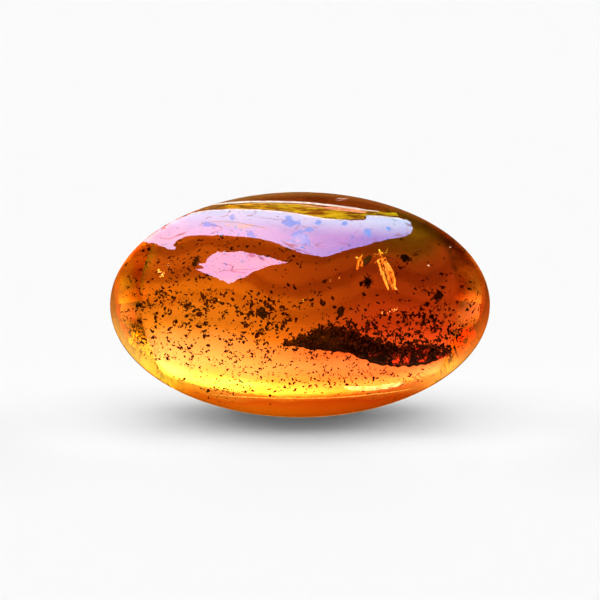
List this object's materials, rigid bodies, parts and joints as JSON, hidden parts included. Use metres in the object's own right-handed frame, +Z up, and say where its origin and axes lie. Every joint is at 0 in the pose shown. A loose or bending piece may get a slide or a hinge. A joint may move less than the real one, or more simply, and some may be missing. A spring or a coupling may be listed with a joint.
{
  "type": "insect in amber",
  "caption": "Polished oval of clear amber that rests on a small flat, with a winged insect, plant debris and bark flakes sealed inside",
  "frame": {"origin": "centre of the small ground foot, on the plane that the stone rests on", "axes": "+X along the stone's long way, +Z up, and -Y towards the viewer of the picture"},
  "size_m": [0.032, 0.022, 0.0187],
  "materials": {
    "amber": "polished, clear orange",
    "insect": "satin golden brown",
    "husk": "dull, dark greenish brown",
    "debris": "dull, nearly black brown"
  },
  "bodies": {
    "root": {"amber_front": "amber", "amber_back": "amber", "winged_insect": "insect", "seed_husk": "husk", "hair_tuft": "debris", "debris_drift": "debris", "bark_flake_1": "debris", "bark_flake_2": "debris", "bark_flake_3": "debris", "bark_flake_4": "debris", "bark_flake_5": "debris"}
  },
  "joints": []
}
